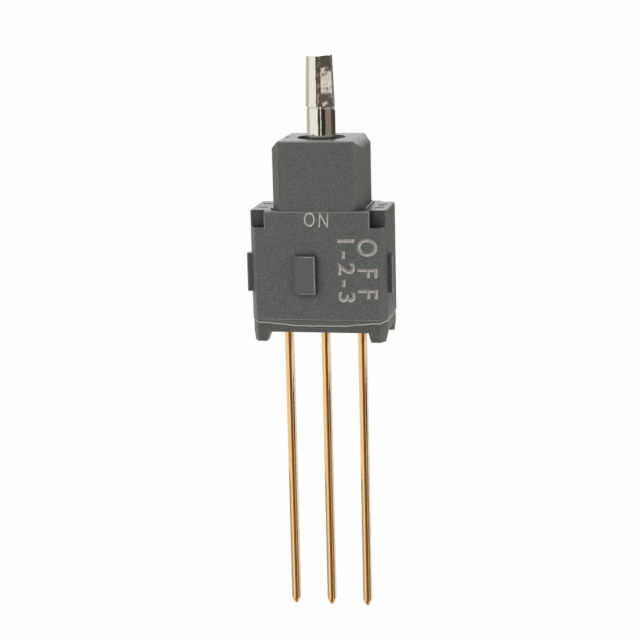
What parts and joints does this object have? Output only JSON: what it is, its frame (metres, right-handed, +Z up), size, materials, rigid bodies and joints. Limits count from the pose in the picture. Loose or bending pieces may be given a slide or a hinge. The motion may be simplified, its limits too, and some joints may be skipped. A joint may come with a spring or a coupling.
{
  "type": "toggle switch",
  "caption": "Sealed ultra-miniature toggle switch: a round metal lever in a moulded bushing, sprung to centre, over a grey case on corner feet with long square wire-wrap posts.",
  "frame": {"origin": "On the board under the middle post, in the plane of the four feet, where the row of posts leaves the switch", "axes": "X runs along the row of posts and the way the lever is thrown, -Y is the front with the tab, +Z runs up through the lever"},
  "size_m": [0.01, 0.0056, 0.0384],
  "materials": {
    "moulding": "glass-filled thermoplastic, fine matt mould finish",
    "resin": "cured epoxy",
    "gold_plate": "copper alloy, gold plated",
    "nickel_plate": "brass, bright nickel plated",
    "seal_rubber": "silicone rubber",
    "steel": "drawn stainless steel",
    "acetal": "acetal, as moulded"
  },
  "bodies": {
    "housing": {"case": "moulding", "base": "moulding", "terminal_left": "gold_plate", "terminal_centre": "gold_plate", "terminal_right": "gold_plate", "fixed_contact_left": "gold_plate", "fixed_contact_centre": "gold_plate", "fixed_contact_right": "gold_plate", "seam_resin": "resin", "potting_resin": "resin", "lever_seal": "seal_rubber", "pivot_pin": "steel", "lever_retainer": "acetal", "return_spring_left": "steel", "return_spring_right": "steel"},
    "lever": {"lever": "nickel_plate"},
    "slider": {"contact_carrier": "acetal", "contact_blade": "gold_plate", "crossbar_left": "gold_plate", "crossbar_right": "gold_plate", "contact_spring": "steel"}
  },
  "joints": [
    {"name": "carrier_slide", "type": "slide", "parent": "housing", "child": "slider", "axis": [1, 0, 0], "range_m": [-0.001, 0.001], "stiffness_N_per_m": 2200, "deforming": ["return_spring_left", "return_spring_right"]},
    {"name": "lever_tilt", "type": "hinge", "parent": "housing", "child": "lever", "pos_m": [0, 0, 0.01122], "axis": [0, 1, 0], "range_deg": [-12.5, 12.5]}
  ],
  "couplings": [
    {"joint": "lever_tilt", "follows": "carrier_slide", "rad_per_m": -219.13}
  ]
}
